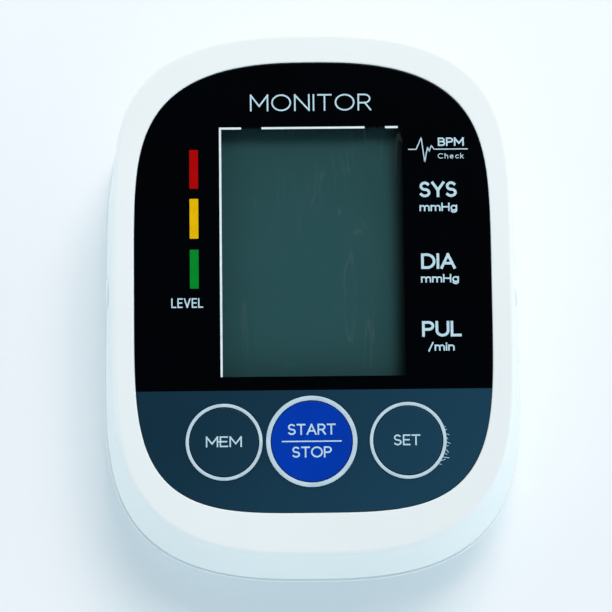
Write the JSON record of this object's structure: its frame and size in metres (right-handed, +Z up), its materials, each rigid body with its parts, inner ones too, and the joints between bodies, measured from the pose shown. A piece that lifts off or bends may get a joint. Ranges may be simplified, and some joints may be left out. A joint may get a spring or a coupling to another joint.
{
  "type": "blood pressure monitor",
  "caption": "Digital upper-arm blood pressure monitor: wedge-shaped white housing, black glossy panel with a display window, round keys in trim rings, side air socket and a hinged battery door.",
  "frame": {"origin": "on the table under the middle of the body, at the height of the rubber feet's soles", "axes": "+X to the right of a person reading the display, +Y to the rear, +Z up"},
  "size_m": [0.1008, 0.1288, 0.0493],
  "materials": {
    "white_abs": "fine satin texture",
    "panel_print": "gloss, printed black and slate",
    "clear_window": "clear gloss",
    "label_foil": "satin, blank",
    "key_slate": "satin gloss",
    "key_blue": "satin gloss",
    "ring_silver": "bright satin",
    "rubber_dark": "matt",
    "foam_black": "matt",
    "lcd_cell": "grey-green, semi-gloss",
    "diffuser": "matt white",
    "board": "solder mask gloss",
    "chip_black": "matt",
    "capacitor_sleeve": "gloss",
    "ivory_nylon": "satin",
    "black_nylon": "satin",
    "tin_steel": "zinc plated",
    "nickel": "nickel plated",
    "magnet": "matt",
    "coil_tape": "copper wire",
    "silicone": "translucent",
    "cell_wrap": "gloss sleeve, plain",
    "lead_wire": "satin"
  },
  "bodies": {
    "housing": {"top_housing": "white_abs", "bottom_housing": "white_abs", "rubber_feet": "rubber_dark", "front_panel": "panel_print", "display_window": "clear_window", "rating_label": "label_foil", "mem_ring": "ring_silver", "start_ring": "ring_silver", "set_ring": "ring_silver", "switch_bodies": "tin_steel", "lcd_gasket": "foam_black", "lcd_glass": "lcd_cell", "lcd_frame": "white_abs", "backlight_plate": "diffuser", "zebra_strips": "foam_black", "main_board": "board", "board_chips": "chip_black", "board_capacitors": "capacitor_sleeve", "wire_connectors": "ivory_nylon", "buzzer": "black_nylon", "board_screws": "tin_steel", "pressure_sensor": "ivory_nylon", "power_socket": "white_abs", "power_pin": "nickel", "motor_can": "tin_steel", "motor_magnets": "magnet", "pump_frame": "ivory_nylon", "wobble_plate": "ivory_nylon", "pump_diaphragm": "rubber_dark", "pump_lid": "ivory_nylon", "pump_cradle": "foam_black", "valve_frame": "tin_steel", "valve_coil": "coil_tape", "valve_body": "ivory_nylon", "air_manifold": "ivory_nylon", "air_socket": "white_abs", "pump_tube": "silicone", "valve_tube": "silicone", "socket_tube": "silicone", "sensor_tube": "silicone", "batteries": "cell_wrap", "battery_springs": "nickel", "battery_plates": "nickel", "battery_leads": "lead_wire", "pump_leads": "lead_wire", "valve_leads": "lead_wire", "power_leads": "lead_wire", "housing_screws": "tin_steel"},
    "door": {"battery_door": "white_abs"},
    "mem_key": {"mem_button": "key_slate", "mem_plunger": "rubber_dark"},
    "start_key": {"start_button": "key_blue", "start_plunger": "rubber_dark"},
    "set_key": {"set_button": "key_slate", "set_plunger": "rubber_dark"},
    "pump_drive": {"motor_rotor": "nickel", "pump_crank": "ivory_nylon"},
    "valve_armature": {"valve_plunger": "nickel"}
  },
  "joints": [
    {"name": "door_hinge", "type": "hinge", "parent": "housing", "child": "door", "pos_m": [0, 0.018, 0.0015], "axis": [1, 0, 0], "range_deg": [0, 75]},
    {"name": "mem_press", "type": "slide", "parent": "housing", "child": "mem_key", "axis": [0, 0.1219, -0.9925], "range_m": [0, 0.0006], "stiffness_N_per_m": 1200, "springref_m": -0.0008},
    {"name": "start_press", "type": "slide", "parent": "housing", "child": "start_key", "axis": [0, 0.1219, -0.9925], "range_m": [0, 0.0006], "stiffness_N_per_m": 1200, "springref_m": -0.0008},
    {"name": "set_press", "type": "slide", "parent": "housing", "child": "set_key", "axis": [0, 0.1219, -0.9925], "range_m": [0, 0.0006], "stiffness_N_per_m": 1200, "springref_m": -0.0008},
    {"name": "pump_spin", "type": "hinge", "parent": "housing", "child": "pump_drive", "pos_m": [0, 0.042, 0.0182], "axis": [1, 0, 0], "continuous": true},
    {"name": "valve_slide", "type": "slide", "parent": "housing", "child": "valve_armature", "axis": [0, -1, 0], "range_m": [0, 0.0008], "stiffness_N_per_m": 150, "springref_m": -0.001}
  ]
}
